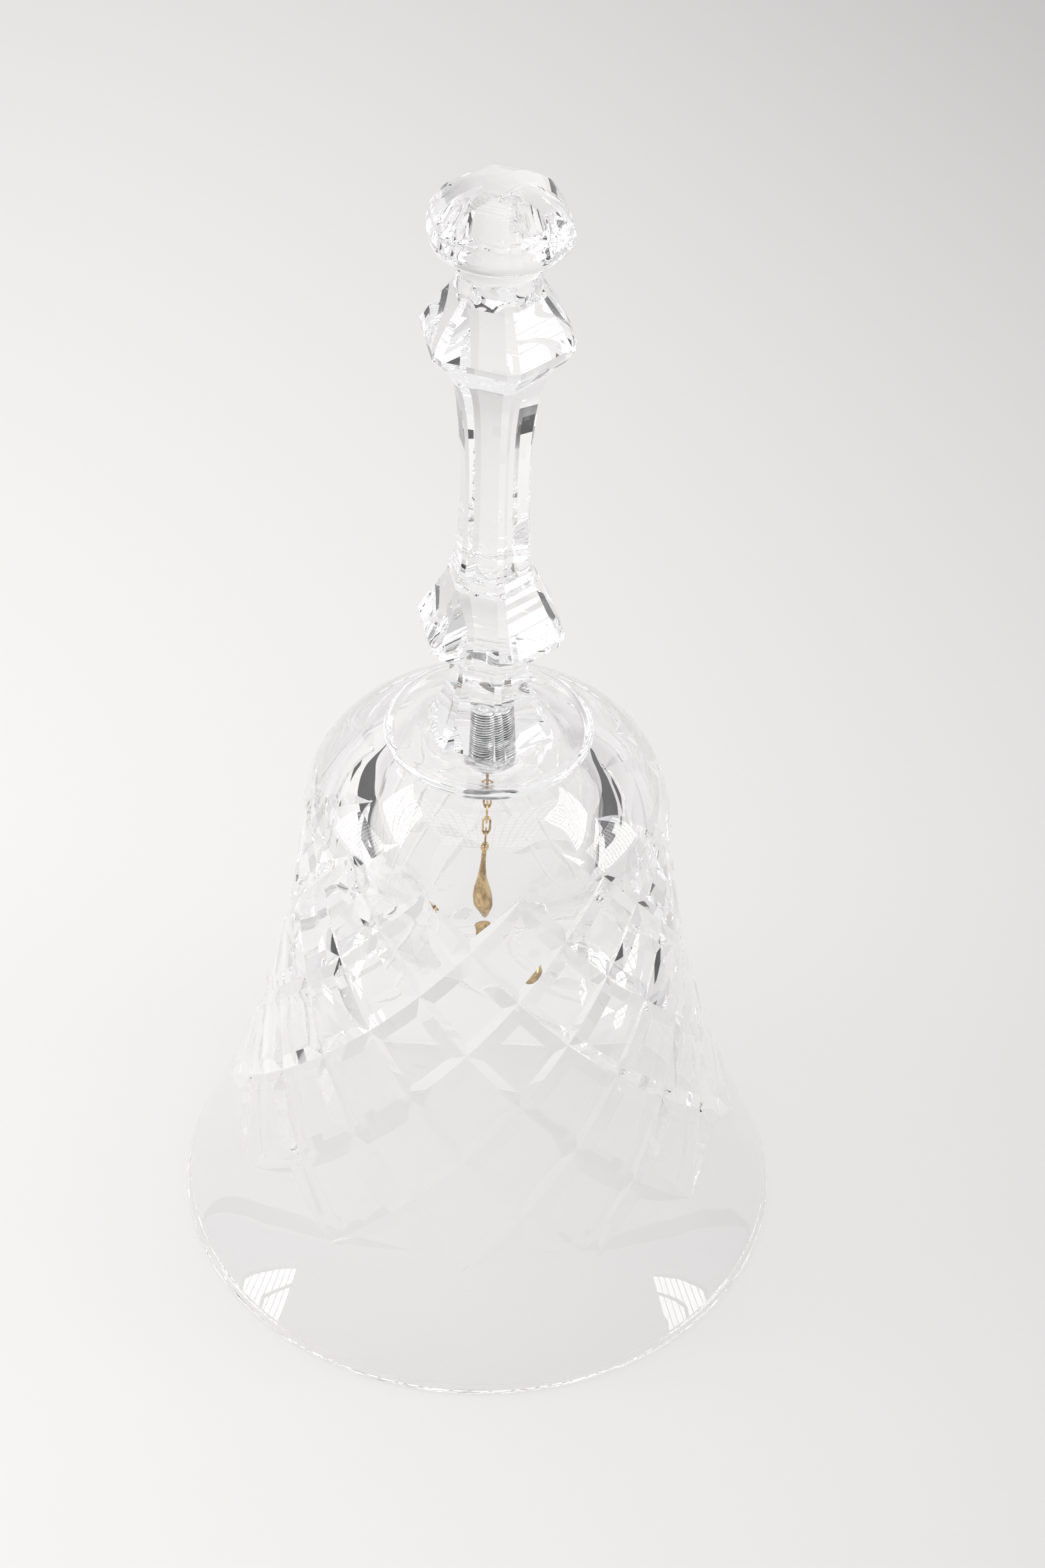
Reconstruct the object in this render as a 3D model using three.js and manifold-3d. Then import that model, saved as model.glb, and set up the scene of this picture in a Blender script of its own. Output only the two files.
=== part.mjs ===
// Cut-glass hand bell: a flared bell with a cut lattice, a faceted handle on a round foot,
// a threaded tube that clamps the two together, and a clapper on a fine chain.
// Millimetres, +Z up. The origin is the centre of the mouth, on the plane of the rim.

import * as THREE from 'three';
import { mergeVertices } from 'three/addons/utils/BufferGeometryUtils.js';
import Module from 'manifold-3d';

const wasm = await Module();
wasm.setup();

// Bell
const RIM_RADIUS = 50;
const RIM_FLAT = [48.3, 49.2]; // inner and outer radius of the ground flat that the bell stands on
const WALL_TOP_Z = 84; // where the flared wall meets the round shoulder
const WALL_TOP_RADIUS = 28.9;
const FLARE_LINEAR = 0.27; // share of the flare that grows evenly; the rest grows as a square
const SHOULDER_RADIUS = 14.85;
const SHOULDER_CENTRE = [14.05, 83]; // radius, z
const CROWN_Z = SHOULDER_CENTRE[1] + SHOULDER_RADIUS;
const RIM_WALL = 2;
const BODY_WALL = 4.6;
const WALL_GROWS_TO_Z = 26; // the wall thickens from the rim up to here
const SHOULDER_WALL = 9;
const SHOULDER_WALL_Z = 50; // the wall thickens again from here up to the dome
const CEILING_Z = 93.2;
const DOME_START_Z = 80;
const DOME_FLAT_RADIUS = 9;
const BELL_SEGMENTS = 72;

// Cut lattice: twelve V grooves each way round
const GROOVES = 12;
const LATTICE_TURN = THREE.MathUtils.degToRad(11); // first crossing, from the front towards +X
const LATTICE_TOP_Z = 88.4;
const LATTICE_ROW = 9.8; // height from one row of crossings to the next
const LATTICE_ROWS = 7;
const GROOVE_DEPTH = 1;
const GROOVE_STEPS = 3; // mesh rows from one row of crossings to the next
const GROOVE_HALF_WIDTH = 1 / GROOVE_STEPS; // in rows
const GROOVE_TAPER_TOP = 0.8; // length of the run-out at each end, in rows
const GROOVE_TAPER_BOTTOM = 0.9;

// Clamping hardware
const GAP = 0.3; // clearance between neighbouring pieces
const TUBE_RADIUS = 2;
const TUBE_BORE_RADIUS = 0.9;
const TUBE_Z = [89.4, 105.2];
const TUBE_CHAMFER = 0.3;
const HOLE_RADIUS = TUBE_RADIUS + GAP;
const RECESS_RADIUS = 4.3; // countersink in the crown that holds the bedding ring
const RECESS_DEPTH = 1.4;
const BEDDING_RADIUS = 3.7;
const WASHER_RADIUS = 3.5;
const WASHER_THICKNESS = 0.6;
const NUT_CORNER_RADIUS = 3.2;
const NUT_HEIGHT = 2.2;
const NUT_CHAMFER = 0.35;

// Handle
const HANDLE_TURN = THREE.MathUtils.degToRad(12); // one ridge, from the front towards +X
const FOOT_Z = CROWN_Z + GAP;
const HANDLE_HOLE_TOP_Z = TUBE_Z[1] + GAP;
const HANDLE_SIDES = 6;
const RIDGE_HALF_ANGLE = THREE.MathUtils.degToRad(5); // each ridge is cut off flat this far each way
const HANDLE_SEGMENTS = 36;

// Chain and clapper
const WIRE_RADIUS = 0.225;
const LINK_WIDTH = 2.0;
const LINK_LENGTH = 3.6;
const LINK_GAP = 0.06; // between the wires of two links that hang on each other
const LINK_PITCH = LINK_LENGTH - 4 * WIRE_RADIUS - LINK_GAP;
const LINK_COUNT = 7;
const CHAIN_TOP_Z = 87.2; // wire centre of the eye that the first link hangs on
const EYE_RADIUS = 0.85; // wire centre radius of the fixed eye
const EYE_SHANK_RADIUS = 0.55;
const EYE_SHANK_TOP_Z = 95;
const CLAPPER_EYE_RADIUS = 0.62;
const CLAPPER_TIP_Z = 58.3;
const CLAPPER_TURN_SEGMENTS = 16;

const GLASS = { color: 0xeef2f4, roughness: 0.03, metalness: 0 };
const STEEL = { color: 0xa9acad, roughness: 0.35, metalness: 1 };
const BEDDING = { color: 0xdad9d4, roughness: 0.8, metalness: 0 };
const BRASS = { color: 0xb98a3e, roughness: 0.28, metalness: 1 };

const bell = new THREE.Group();

function addPiece(name, geometry, look) {
  const piece = new THREE.Mesh(geometry, new THREE.MeshStandardMaterial(look));
  piece.name = name;
  bell.add(piece);
  return piece;
}

// ---- Solids made of rings of points ----

function signedVolume(points, faces) {
  let volume = 0;
  for (const [a, b, c] of faces) {
    volume += points[a].dot(new THREE.Vector3().crossVectors(points[b], points[c])) / 6;
  }
  return volume;
}

function solidFrom(points, faces) {
  const outward = signedVolume(points, faces) > 0;
  const geometry = new THREE.BufferGeometry();
  geometry.setAttribute(
    'position',
    new THREE.Float32BufferAttribute(points.flatMap((p) => [p.x, p.y, p.z]), 3),
  );
  geometry.setIndex(faces.flatMap(([a, b, c]) => (outward ? [a, b, c] : [a, c, b])));
  geometry.computeVertexNormals();
  return geometry;
}

// A band of quads between each ring and the next. splitsBack(i, j) says which way quad i of
// band j is cut into triangles, so that a groove's lines lie along the cuts.
function bandFaces(ringCount, ringSize, joinEnds, splitsBack = () => false) {
  const faces = [];
  const bands = joinEnds ? ringCount : ringCount - 1;
  for (let j = 0; j < bands; j += 1) {
    for (let i = 0; i < ringSize; i += 1) {
      const next = (i + 1) % ringSize;
      const above = ((j + 1) % ringCount) * ringSize;
      const [a, b, c, d] = [j * ringSize + i, j * ringSize + next, above + next, above + i];
      if (splitsBack(i, j)) {
        faces.push([a, b, d], [b, c, d]);
      } else {
        faces.push([a, b, c], [a, c, d]);
      }
    }
  }
  return faces;
}

// A ring-shaped solid: the last ring joins the first.
function loopSolid(rings, splitsBack) {
  return solidFrom(rings.flat(), bandFaces(rings.length, rings[0].length, true, splitsBack));
}

// A solid closed by a point at each end.
function pointedSolid(startPoint, rings, endPoint) {
  const size = rings[0].length;
  const faces = bandFaces(rings.length, size, false);
  const start = rings.length * size;
  const last = start - size;
  for (let i = 0; i < size; i += 1) {
    const next = (i + 1) % size;
    faces.push([start, next, i], [last + i, last + next, start + 1]);
  }
  return solidFrom([...rings.flat(), startPoint, endPoint], faces);
}

// Azimuths are measured from the front, -Y, towards +X.
function pointAt(radius, azimuth, z) {
  return new THREE.Vector3(radius * Math.sin(azimuth), -radius * Math.cos(azimuth), z);
}

function ring(segments, turn, z, radiusAt) {
  return Array.from({ length: segments }, (_, i) => {
    const azimuth = (2 * Math.PI * i) / segments;
    return pointAt(radiusAt(azimuth), azimuth + turn, z);
  });
}

// ---- Bell ----

function outerRadius(z) {
  if (z <= WALL_TOP_Z) {
    const down = (WALL_TOP_Z - z) / WALL_TOP_Z;
    const flare = FLARE_LINEAR * down + (1 - FLARE_LINEAR) * down * down;
    return WALL_TOP_RADIUS + (RIM_RADIUS - WALL_TOP_RADIUS) * flare;
  }
  const up = z - SHOULDER_CENTRE[1];
  return SHOULDER_CENTRE[0] + Math.sqrt(Math.max(0, SHOULDER_RADIUS ** 2 - up ** 2));
}

function innerRadius(z) {
  const grown = Math.sin((Math.PI / 2) * THREE.MathUtils.clamp(z / WALL_GROWS_TO_Z, 0, 1));
  const thickened = THREE.MathUtils.smoothstep(z, SHOULDER_WALL_Z, DOME_START_Z);
  const wall = THREE.MathUtils.lerp(RIM_WALL, BODY_WALL, grown) + thickened * (SHOULDER_WALL - BODY_WALL);
  if (z <= DOME_START_Z) {
    return outerRadius(z) - wall;
  }
  const across = outerRadius(DOME_START_Z) - SHOULDER_WALL - DOME_FLAT_RADIUS;
  const up = (z - DOME_START_Z) / (CEILING_Z - DOME_START_Z);
  return DOME_FLAT_RADIUS + across * Math.sqrt(Math.max(0, 1 - up * up));
}

// Depth of the cut at a place given in rows down from the top crossings, and in rows round.
function grooveDepth(rowsDown, rowsRound) {
  const apart = (a) => Math.abs(a - 2 * Math.round(a / 2));
  const nearest = Math.min(apart(rowsRound + rowsDown), apart(rowsRound - rowsDown));
  const fromTop = (rowsDown + 0.1) / GROOVE_TAPER_TOP;
  const fromBottom = (LATTICE_ROWS - 0.1 - rowsDown) / GROOVE_TAPER_BOTTOM;
  const along = THREE.MathUtils.clamp(Math.min(fromTop, fromBottom), 0, 1);
  const runOut = 1 - (1 - along) ** 2;
  return GROOVE_DEPTH * Math.max(0, runOut - nearest / GROOVE_HALF_WIDTH);
}

function bellShell() {
  const latticeStep = LATTICE_ROW / GROOVE_STEPS;
  const latticeRings = LATTICE_ROWS * GROOVE_STEPS;
  const latticeBottomZ = LATTICE_TOP_Z - LATTICE_ROWS * LATTICE_ROW;
  const outline = [];
  for (const z of [RIM_RADIUS - RIM_FLAT[1], 5, 10, 15]) {
    outline.push([outerRadius(z), z]);
  }
  const latticeStart = outline.length;
  for (let j = 0; j <= latticeRings; j += 1) {
    const z = latticeBottomZ + j * latticeStep;
    outline.push([outerRadius(z), z]);
  }
  const shoulderStart = Math.asin((LATTICE_TOP_Z - SHOULDER_CENTRE[1]) / SHOULDER_RADIUS);
  for (let k = 1; k <= 5; k += 1) {
    const angle = THREE.MathUtils.lerp(shoulderStart, Math.PI / 2, k / 5);
    outline.push([
      SHOULDER_CENTRE[0] + SHOULDER_RADIUS * Math.cos(angle),
      SHOULDER_CENTRE[1] + SHOULDER_RADIUS * Math.sin(angle),
    ]);
  }
  outline.push([RECESS_RADIUS, CROWN_Z], [RECESS_RADIUS, CROWN_Z - RECESS_DEPTH]);
  outline.push([HOLE_RADIUS, CROWN_Z - RECESS_DEPTH], [HOLE_RADIUS, CEILING_Z]);
  for (let k = 0; k < 5; k += 1) {
    const angle = ((Math.PI / 2) * (5 - k)) / 5;
    const z = DOME_START_Z + (CEILING_Z - DOME_START_Z) * Math.sin(angle);
    outline.push([innerRadius(z), z]);
  }
  for (const z of [DOME_START_Z, 74, 68, 62, 56, 50, 38, 26, 20, 13, 6, 1]) {
    outline.push([innerRadius(z), z]);
  }
  outline.push([RIM_FLAT[0], 0], [RIM_FLAT[1], 0]);

  const rowAngle = Math.PI / GROOVES;
  const rings = outline.map(([radius, z], j) => {
    const inLattice = j >= latticeStart && j <= latticeStart + latticeRings;
    const rowsDown = (LATTICE_TOP_Z - z) / LATTICE_ROW;
    return ring(BELL_SEGMENTS, LATTICE_TURN, z, (azimuth) =>
      inLattice ? radius - grooveDepth(rowsDown, azimuth / rowAngle) : radius,
    );
  });
  const period = 2 * GROOVE_STEPS;
  const onEdge = (n) => [0, 1, period - 1].includes(((n % period) + period) % period);
  return loopSolid(rings, (i, j) => onEdge(latticeRings - (j - latticeStart) - i - 1));
}

// ---- Handle ----

// Each level is [corner radius, z, share of hexagon from 0, round, to 1, faceted].
function facetedRing([cornerRadius, z, faceted]) {
  const sector = (2 * Math.PI) / HANDLE_SIDES;
  const flat = Math.cos(sector / 2 - RIDGE_HALF_ANGLE);
  return ring(HANDLE_SEGMENTS, HANDLE_TURN + RIDGE_HALF_ANGLE, z, (azimuth) => {
    const fromRidge = azimuth + RIDGE_HALF_ANGLE;
    const offRidge = Math.abs(fromRidge - sector * Math.round(fromRidge / sector));
    const corner = cornerRadius / Math.cos(RIDGE_HALF_ANGLE);
    const hexagon =
      offRidge <= RIDGE_HALF_ANGLE + 1e-6
        ? cornerRadius / Math.cos(offRidge)
        : (corner * flat) / Math.cos(sector / 2 - offRidge);
    return THREE.MathUtils.lerp(cornerRadius, hexagon, faceted);
  });
}

const HANDLE_LEVELS = [
  // blind hole and underside of the foot
  [HOLE_RADIUS, HANDLE_HOLE_TOP_Z, 0],
  [HOLE_RADIUS, FOOT_Z, 0],
  [14.6, FOOT_Z, 0],
  // round foot with a rolled edge
  [15.7, FOOT_Z + 0.6, 0],
  [16.3, FOOT_Z + 1.5, 0],
  [15.9, FOOT_Z + 2.3, 0],
  [14.6, FOOT_Z + 2.7, 0],
  [11.4, FOOT_Z + 2.8, 0.4],
  // faceted flare up to the lower neck
  [9.9, FOOT_Z + 3.2, 1],
  [8.6, 103.2, 1],
  [7.4, 106.2, 1],
  [6.5, 110, 1],
  [6.0, 115, 1],
  // lower knop
  [8.0, 117.4, 1],
  [10.8, 119.4, 1],
  [11.3, 120, 1],
  [11.3, 121.3, 1],
  [9.2, 125.2, 1],
  [6.8, 130.2, 1],
  [6.7, 131.4, 1],
  // stem
  [6.0, 133, 1],
  [5.6, 138, 1],
  [5.35, 147, 1],
  [5.6, 156, 1],
  [6.3, 162.5, 1],
  [7.8, 168, 1],
  // upper knop
  [11, 172.4, 1],
  [11.5, 173.2, 1],
  [11.5, 174.2, 1],
  [9.2, 178, 1],
  [6.9, 181.2, 1],
  // round collar and neck
  [6.5, 182.2, 0.3],
  [6.1, 184.8, 0],
  [6.5, 187.9, 0],
  // finial
  [8.8, 188.7, 0.1],
  [10.3, 189.8, 0.2],
  [10.8, 191.2, 0.5],
  [10.3, 193.6, 0.8],
  [8.5, 196.1, 1],
  [5.4, 198.3, 1],
  [2.3, 199.4, 1],
];
const FINIAL_TOP_Z = 199.7;

function handle() {
  const rings = HANDLE_LEVELS.map(facetedRing);
  return pointedSolid(pointAt(0, 0, HANDLE_HOLE_TOP_Z), rings, pointAt(0, 0, FINIAL_TOP_Z));
}

// ---- Clamping hardware ----

function turnedRing(outline, segments) {
  return loopSolid(outline.map(([radius, z]) => ring(segments, 0, z, () => radius)));
}

function threadedTube() {
  const [bottom, top] = TUBE_Z;
  return turnedRing([
    [TUBE_RADIUS - TUBE_CHAMFER, bottom],
    [TUBE_RADIUS, bottom + TUBE_CHAMFER],
    [TUBE_RADIUS, top - TUBE_CHAMFER],
    [TUBE_RADIUS - TUBE_CHAMFER, top],
    [TUBE_BORE_RADIUS, top],
    [TUBE_BORE_RADIUS, bottom],
  ], 20);
}

function beddingRing() {
  const bottom = CROWN_Z - RECESS_DEPTH + GAP;
  const top = CROWN_Z;
  const ragged = (azimuth) =>
    BEDDING_RADIUS + 0.14 * Math.sin(5 * azimuth) + 0.1 * Math.sin(9 * azimuth + 1);
  const outline = [[ragged, bottom], [ragged, top], [() => HOLE_RADIUS, top], [() => HOLE_RADIUS, bottom]];
  return loopSolid(outline.map(([radiusAt, z]) => ring(30, 0, z, radiusAt)));
}

const WASHER_TOP_Z = CEILING_Z - GAP;
const NUT_TOP_Z = WASHER_TOP_Z - WASHER_THICKNESS - GAP;

function clampWasher() {
  const bottom = WASHER_TOP_Z - WASHER_THICKNESS;
  return turnedRing([
    [WASHER_RADIUS, bottom],
    [WASHER_RADIUS, WASHER_TOP_Z],
    [HOLE_RADIUS, WASHER_TOP_Z],
    [HOLE_RADIUS, bottom],
  ], 24);
}

function clampNut() {
  const bottom = NUT_TOP_Z - NUT_HEIGHT;
  const hexagonAt = (corner) => (azimuth) => {
    const side = Math.PI / 3;
    const offFlat = azimuth - side * Math.round(azimuth / side);
    return (corner * Math.cos(side / 2)) / Math.cos(offFlat);
  };
  const outline = [
    [hexagonAt(NUT_CORNER_RADIUS - NUT_CHAMFER), bottom],
    [hexagonAt(NUT_CORNER_RADIUS), bottom + NUT_CHAMFER],
    [hexagonAt(NUT_CORNER_RADIUS), NUT_TOP_Z],
    [() => HOLE_RADIUS, NUT_TOP_Z],
    [() => HOLE_RADIUS, bottom],
  ];
  return loopSolid(outline.map(([radiusAt, z]) => ring(24, Math.PI / 12, z, radiusAt)));
}

// ---- Chain and clapper ----

// A wire bent round a closed path of [across, z] points in the plane across x Z.
function wireLoop(path, wireRadius, wireSides, inYZ) {
  const toPoint = (across, out, z) => (inYZ ? new THREE.Vector3(out, across, z) : new THREE.Vector3(across, out, z));
  const rings = path.map(([across, z], k) => {
    const before = path.at(k - 1);
    const after = path[(k + 1) % path.length];
    const tangent = new THREE.Vector2(after[0] - before[0], after[1] - before[1]).normalize();
    return Array.from({ length: wireSides }, (_, m) => {
      const angle = (2 * Math.PI * m) / wireSides;
      const side = wireRadius * Math.cos(angle);
      return toPoint(across + side * tangent.y, wireRadius * Math.sin(angle), z - side * tangent.x);
    });
  });
  return loopSolid(rings);
}

function roundPath(radius, centreZ, steps) {
  return Array.from({ length: steps }, (_, k) => {
    const angle = (2 * Math.PI * k) / steps;
    return [radius * Math.sin(angle), centreZ + radius * Math.cos(angle)];
  });
}

// Two half circles joined by straight sides.
function linkPath(centreZ) {
  const bend = LINK_WIDTH / 2 - WIRE_RADIUS;
  const straight = LINK_LENGTH / 2 - WIRE_RADIUS - bend;
  const path = [];
  for (const end of [1, -1]) {
    for (let k = 0; k <= 6; k += 1) {
      const angle = (Math.PI * k) / 6;
      path.push([end * -bend * Math.cos(angle), centreZ + end * (straight + bend * Math.sin(angle))]);
    }
  }
  return path;
}

function toManifold(geometry) {
  const shape = geometry.clone();
  shape.deleteAttribute('normal');
  shape.deleteAttribute('uv');
  const merged = mergeVertices(shape);
  const mesh = new wasm.Mesh({
    numProp: 3,
    vertProperties: new Float32Array(merged.attributes.position.array),
    triVerts: new Uint32Array(merged.index.array),
  });
  return new wasm.Manifold(mesh);
}

function joined(first, second) {
  const mesh = toManifold(first).add(toManifold(second)).getMesh();
  const geometry = new THREE.BufferGeometry();
  geometry.setAttribute('position', new THREE.Float32BufferAttribute(mesh.vertProperties, 3));
  geometry.setIndex(Array.from(mesh.triVerts));
  geometry.computeVertexNormals();
  return geometry;
}

function turnedRod(outline, topZ, bottomZ, segments) {
  const rings = outline.map(([radius, z]) => ring(segments, 0, z, () => radius));
  return pointedSolid(pointAt(0, 0, bottomZ), rings, pointAt(0, 0, topZ));
}

function eyePin() {
  const centreZ = CHAIN_TOP_Z + EYE_RADIUS;
  const eye = wireLoop(roundPath(EYE_RADIUS, centreZ, 18), WIRE_RADIUS, 8, false);
  const shankBottomZ = centreZ + EYE_RADIUS - WIRE_RADIUS / 2;
  const shank = turnedRod([
    [EYE_SHANK_RADIUS * 0.6, shankBottomZ],
    [EYE_SHANK_RADIUS, shankBottomZ + 0.5],
    [EYE_SHANK_RADIUS, EYE_SHANK_TOP_Z - 0.2],
    [EYE_SHANK_RADIUS - 0.2, EYE_SHANK_TOP_Z],
  ], EYE_SHANK_TOP_Z, shankBottomZ, 12);
  return joined(eye, shank);
}

function chainLink(index) {
  const hookZ = CHAIN_TOP_Z - index * LINK_PITCH;
  const topZ = hookZ + 2 * WIRE_RADIUS + LINK_GAP + WIRE_RADIUS;
  const centreZ = topZ - LINK_LENGTH / 2;
  return wireLoop(linkPath(centreZ), WIRE_RADIUS, 8, index % 2 === 0);
}

function clapper() {
  const hookZ = CHAIN_TOP_Z - LINK_COUNT * LINK_PITCH;
  const eyeTopZ = hookZ + 2 * WIRE_RADIUS + LINK_GAP;
  const eyeCentreZ = eyeTopZ - CLAPPER_EYE_RADIUS;
  const eye = wireLoop(roundPath(CLAPPER_EYE_RADIUS, eyeCentreZ, 18), WIRE_RADIUS, 8, false);
  const shaftTopZ = eyeCentreZ - CLAPPER_EYE_RADIUS + WIRE_RADIUS / 2;
  const drop = turnedRod([
    [0.5, CLAPPER_TIP_Z + 0.25],
    [1.0, CLAPPER_TIP_Z + 0.7],
    [1.4, CLAPPER_TIP_Z + 1.5],
    [1.3, CLAPPER_TIP_Z + 2.4],
    [1.0, CLAPPER_TIP_Z + 3.6],
    [0.65, CLAPPER_TIP_Z + 5.4],
    [0.46, CLAPPER_TIP_Z + 7.6],
    [0.45, shaftTopZ - 0.5],
    [0.3, shaftTopZ],
  ], shaftTopZ, CLAPPER_TIP_Z, CLAPPER_TURN_SEGMENTS);
  return joined(eye, drop);
}

addPiece('bell_shell', bellShell(), GLASS);
addPiece('handle', handle(), GLASS);
addPiece('threaded_tube', threadedTube(), STEEL);
addPiece('bedding_ring', beddingRing(), BEDDING);
addPiece('clamp_washer', clampWasher(), STEEL);
addPiece('clamp_nut', clampNut(), STEEL);
addPiece('eye_pin', eyePin(), STEEL);
for (let index = 0; index < LINK_COUNT; index += 1) {
  addPiece(`chain_link_${index + 1}`, chainLink(index), BRASS);
}
addPiece('clapper', clapper(), BRASS);

export default bell;
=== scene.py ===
"""Cut-glass hand bell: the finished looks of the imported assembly.

The file is laid out as an add-on. Each piece, or group of like pieces, has its own operator, the stage has
one too, and the panel "Hand Bell" in the 3D view's sidebar lists them. Shapes are worked out in millimetres
and put into their meshes in metres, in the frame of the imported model: +Z up, with the mouth's centre at the
origin. The stage is in metres.
"""

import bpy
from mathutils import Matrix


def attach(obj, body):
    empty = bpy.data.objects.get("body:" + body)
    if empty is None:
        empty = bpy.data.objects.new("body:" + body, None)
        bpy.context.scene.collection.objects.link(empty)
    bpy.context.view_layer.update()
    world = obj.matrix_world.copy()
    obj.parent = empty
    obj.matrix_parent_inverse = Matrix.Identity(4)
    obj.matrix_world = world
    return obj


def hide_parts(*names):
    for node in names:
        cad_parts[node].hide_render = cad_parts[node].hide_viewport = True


bl_info = {
    "name": "Hand Bell",
    "version": (1, 0, 0),
    "blender": (4, 5, 0),
    "location": "View3D > Sidebar > Hand Bell",
    "description": "Builds the cut glass, fittings, chain and clapper of a hand bell, and its studio",
    "category": "Add Mesh",
}

import bpy
import numpy as np
from bpy.props import FloatProperty, FloatVectorProperty, IntProperty, PointerProperty
from mathutils import Matrix, Vector

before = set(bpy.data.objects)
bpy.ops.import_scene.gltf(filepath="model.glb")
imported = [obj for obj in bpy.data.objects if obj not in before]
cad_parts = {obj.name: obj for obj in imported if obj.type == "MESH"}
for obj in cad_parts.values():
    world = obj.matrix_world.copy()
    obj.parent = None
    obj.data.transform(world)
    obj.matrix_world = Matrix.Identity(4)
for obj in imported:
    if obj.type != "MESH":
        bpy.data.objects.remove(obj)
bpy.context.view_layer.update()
MM = 0.001
TURN = 2 * np.pi

# Bell wall, millimetres: the rim's flat is (inner, outer radius), the wall's top (radius, z), the shoulder's
# arc (centre's radius, centre's z, radius) and the recess (radius, depth). BLOWN is the heights between which
# the wander of the inside grows to its full size.
RIM_RADIUS = 50.0
RIM_FLAT = (48.3, 49.2)
RIM_ROUND = 1.0
WALL_TOP = (28.9, 84.0)
FLARE_LINEAR = 0.27
SHOULDER = (14.05, 83.0, 14.85)
RIM_WALL = 2.0
BODY_WALL = 4.6
WALL_GROWS_TO = 26.0
SHOULDER_WALL = 9.0
THICKENS_FROM = 50.0
CEILING = 93.2
DOME_START = 80.0
DOME_FLAT = 9.0
CROWN = SHOULDER[1] + SHOULDER[2]
HOLE = 2.3
RECESS = (4.3, 1.4)
BLOWN = (50.0, 70.0)

# Cut lattice: its top, the pitch of its rows and the full cut are in millimetres, and the ends, half width
# and tapers of its grooves are counted in rows of crossings. CELLS is mesh steps to a row.
LATTICE_TOP = 88.4
LATTICE_ROW = 9.8
LATTICE_ROWS = 7
CUT_ENDS = (-0.1, LATTICE_ROWS - 0.1)
GROOVE_HALF = 1 / 3
NARROWEST = 0.15
TAPER_TOP = 0.8
TAPER_BOTTOM = 0.9
LATTICE_COLUMNS = 24
CELLS = 12
FULL_CUT = 0.3
COLUMNS = LATTICE_COLUMNS * CELLS

# Mesh steps of the wall, from the rim's outer edge up, over the crown, and down to its inner edge
OUTER_EDGE_STEPS = 5
ROWS_BELOW = 19
SHOULDER_ROWS = 23
CROWN_STEPS = 5
DOME_STEPS = 32
INSIDE_STEPS = 47
INNER_EDGE_STEPS = 4

# Handle: the socket is (radius, top). A run is points of (corner radius, z, share of hexagon); it is smooth
# within, and runs meet at an edge
FOOT = CROWN + 0.3
SOCKET = (1.5, 104.9)
HANDLE_TOP = 199.7
RIDGE_HALF = np.radians(5)
FACETS = 6
FACET_STEPS = 14
RIDGE_STEPS = 3
RUN_STEPS = 8
HANDLE_RUNS = (
    ((SOCKET[0], SOCKET[1], 0), (SOCKET[0], FOOT, 0)),
    ((SOCKET[0], FOOT, 0), (14.6, FOOT, 0)),
    (
        (14.6, FOOT, 0),
        (15.7, FOOT + 0.6, 0),
        (16.3, FOOT + 1.5, 0),
        (15.9, FOOT + 2.3, 0),
        (14.6, FOOT + 2.7, 0),
    ),
    ((14.6, FOOT + 2.7, 0), (11.4, FOOT + 2.8, 0.4), (9.9, FOOT + 3.2, 1)),
    (
        (9.9, FOOT + 3.2, 1),
        (8.6, 103.2, 1),
        (7.4, 106.2, 1),
        (6.5, 110, 1),
        (6.0, 115, 1),
        (8.0, 117.4, 1),
        (10.8, 119.4, 1),
        (11.3, 120, 1),
    ),
    ((11.3, 120, 1), (11.3, 121.3, 1)),
    ((11.3, 121.3, 1), (9.2, 125.2, 1), (6.8, 130.2, 1)),
    ((6.8, 130.2, 1), (6.7, 131.4, 1)),
    (
        (6.7, 131.4, 1),
        (6.0, 133, 1),
        (5.6, 138, 1),
        (5.35, 147, 1),
        (5.6, 156, 1),
        (6.3, 162.5, 1),
        (7.8, 168, 1),
        (11, 172.4, 1),
    ),
    ((11, 172.4, 1), (11.5, 173.2, 1)),
    ((11.5, 173.2, 1), (11.5, 174.2, 1)),
    ((11.5, 174.2, 1), (9.2, 178, 1), (6.9, 181.2, 1)),
    ((6.9, 181.2, 1), (6.5, 182.2, 0.3), (6.1, 184.8, 0), (6.5, 187.9, 0)),
    ((6.5, 187.9, 0), (8.8, 188.7, 0.1), (10.3, 189.8, 0.2), (10.8, 191.2, 0.5), (10.3, 193.6, 0.8)),
    ((10.3, 193.6, 0.8), (8.5, 196.1, 1), (5.4, 198.3, 1), (2.3, 199.4, 1)),
)

# Fittings: a tube of (radius, bore, bottom, top), a ring section of (radius, share of height), a washer of
# (radius, thickness, top) and a nut of (corner radius, height, top)
TUBE = (2.0, 0.9, 89.4, 105.2)
TUBE_CHAMFER = 0.3
BORE = 2.32
BEDDING = (
    (3.62, 0.0),
    (3.72, 0.15),
    (3.74, 0.5),
    (3.7, 0.85),
    (3.5, 1.0),
    (3.0, 1.0),
    (BORE, 1.0),
    (BORE, 0.0),
)
WASHER = (3.5, 0.6, 92.9)
WASHER_BEVEL = 0.08
NUT = (3.2, 2.2, 92.0)
NUT_CONE = 1.9

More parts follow.
